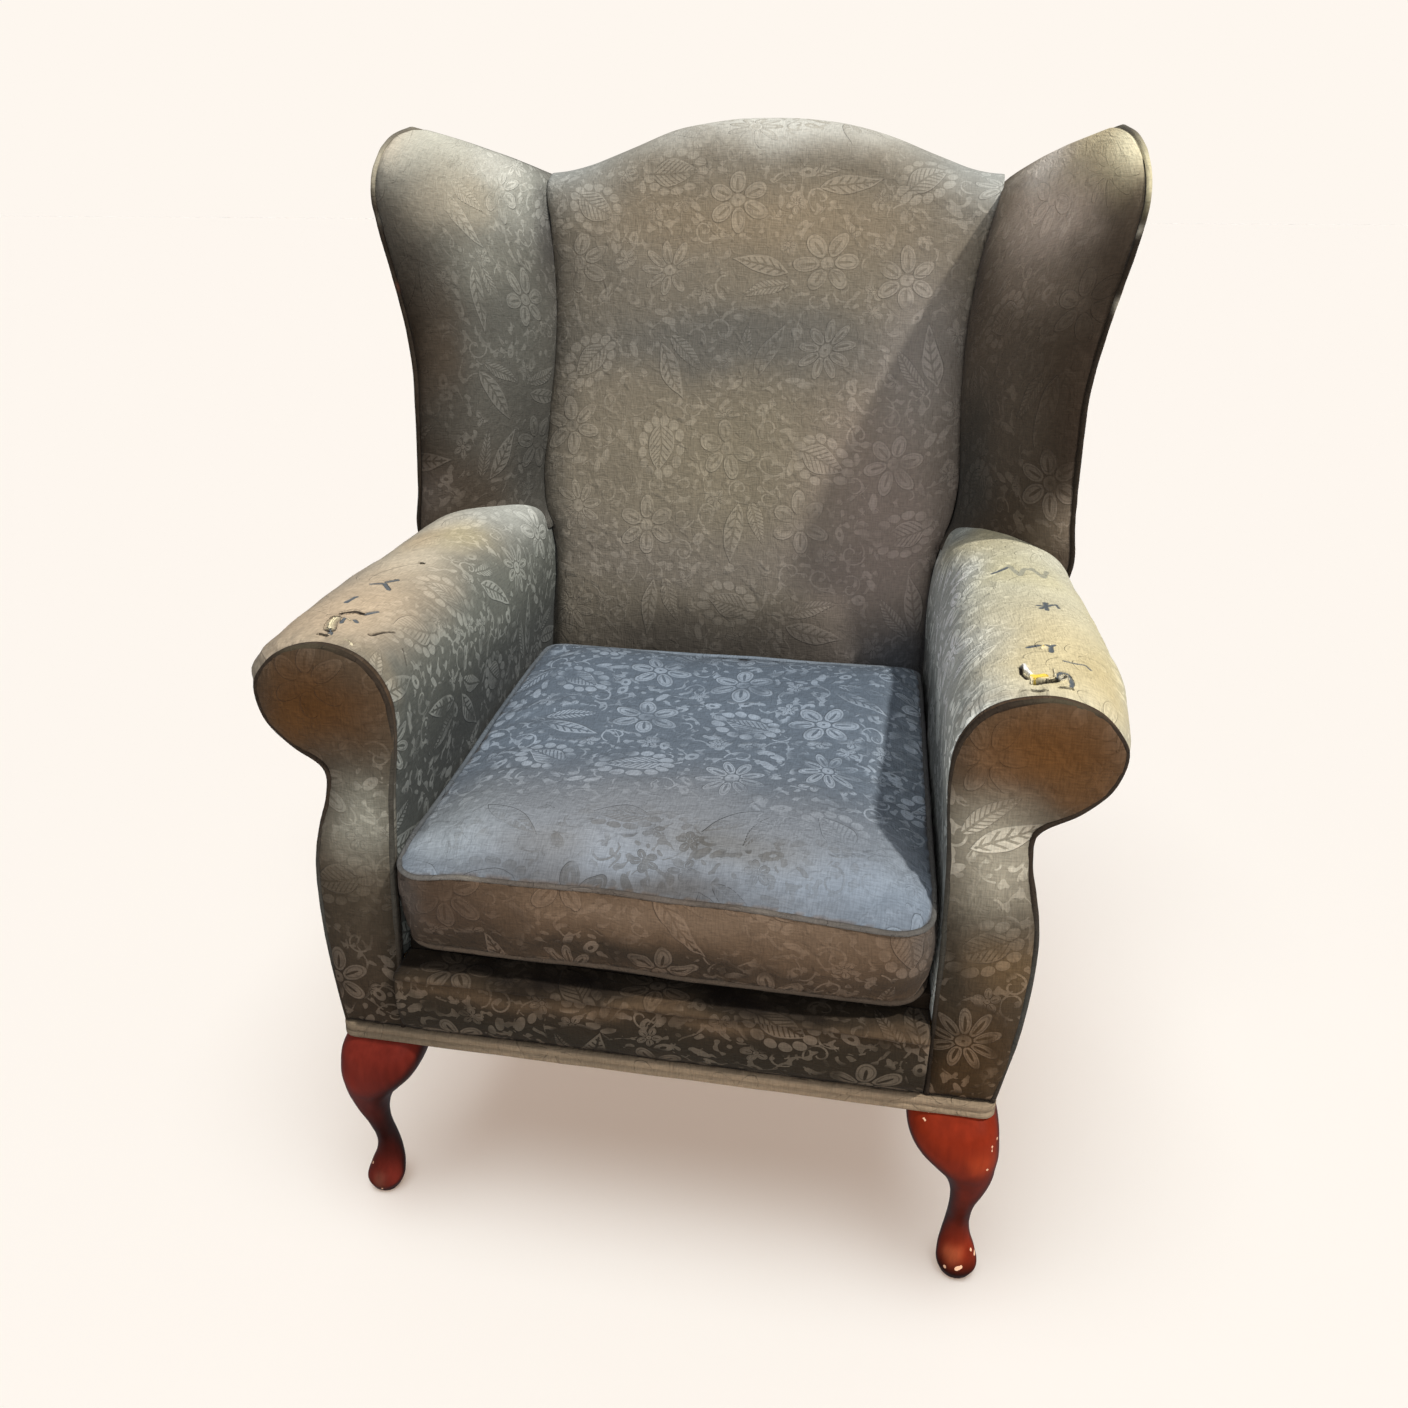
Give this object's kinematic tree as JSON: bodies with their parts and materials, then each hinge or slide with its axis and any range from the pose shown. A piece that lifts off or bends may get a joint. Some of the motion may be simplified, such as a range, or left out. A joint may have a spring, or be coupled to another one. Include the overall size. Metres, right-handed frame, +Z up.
{
  "type": "wing armchair",
  "caption": "Wingback armchair with rolled arms, a humped back, a loose boxed seat cushion and cabriole front legs, upholstered in worn floral jacquard.",
  "frame": {"origin": "on the floor, at the middle of the overall width and depth", "axes": "+Z up, +X to the right of someone looking at the front, -Y out of the front of the seat"},
  "size_m": [0.7804, 0.8204, 1.0636],
  "materials": {
    "jacquard": "blue-grey floral jacquard, faded and soiled",
    "piping": "worn self piping",
    "base_band": "flat cotton band",
    "dust_cloth": "thin non-woven cloth",
    "leg_mahogany": "red mahogany stain under gloss lacquer",
    "frame_beech": "sawn, unfinished",
    "spring_steel": "drawn wire",
    "webbing": "woven webbing",
    "glide": "moulded disc"
  },
  "bodies": {
    "root": {"arm_facing_left": "jacquard", "arm_facing_right": "jacquard", "arm_piping_left": "piping", "arm_piping_right": "piping", "arm_post_left": "frame_beech", "arm_post_right": "frame_beech", "arm_rail_left": "frame_beech", "arm_rail_right": "frame_beech", "back_post_left": "leg_mahogany", "back_post_right": "leg_mahogany", "back_rail": "frame_beech", "back_webbing_1": "webbing", "back_webbing_2": "webbing", "back_webbing_3": "webbing", "base_band": "base_band", "cabriole_leg_left": "leg_mahogany", "cabriole_leg_right": "leg_mahogany", "corner_block_back_left": "frame_beech", "corner_block_back_right": "frame_beech", "corner_block_front_left": "frame_beech", "corner_block_front_right": "frame_beech", "crest_rail": "frame_beech", "cushion_piping_bottom": "piping", "cushion_piping_top": "piping", "dust_cover": "dust_cloth", "front_border": "jacquard", "front_glide_left": "glide", "front_glide_right": "glide", "front_rail": "frame_beech", "inside_arm_left": "jacquard", "inside_arm_right": "jacquard", "inside_back": "jacquard", "lower_back_rail": "frame_beech", "outside_arm_left": "jacquard", "outside_arm_right": "jacquard", "outside_back": "jacquard", "outside_wing_left": "jacquard", "outside_wing_right": "jacquard", "rear_glide_left": "glide", "rear_glide_right": "glide", "seat_cushion": "jacquard", "seat_deck": "jacquard", "seat_spring_1": "spring_steel", "seat_spring_2": "spring_steel", "seat_spring_3": "spring_steel", "seat_spring_4": "spring_steel", "side_rail_left": "frame_beech", "side_rail_right": "frame_beech", "wing_frame_left": "frame_beech", "wing_frame_right": "frame_beech", "wing_pad_left": "jacquard", "wing_pad_right": "jacquard", "wing_piping_left": "piping", "wing_piping_right": "piping"}
  },
  "joints": []
}
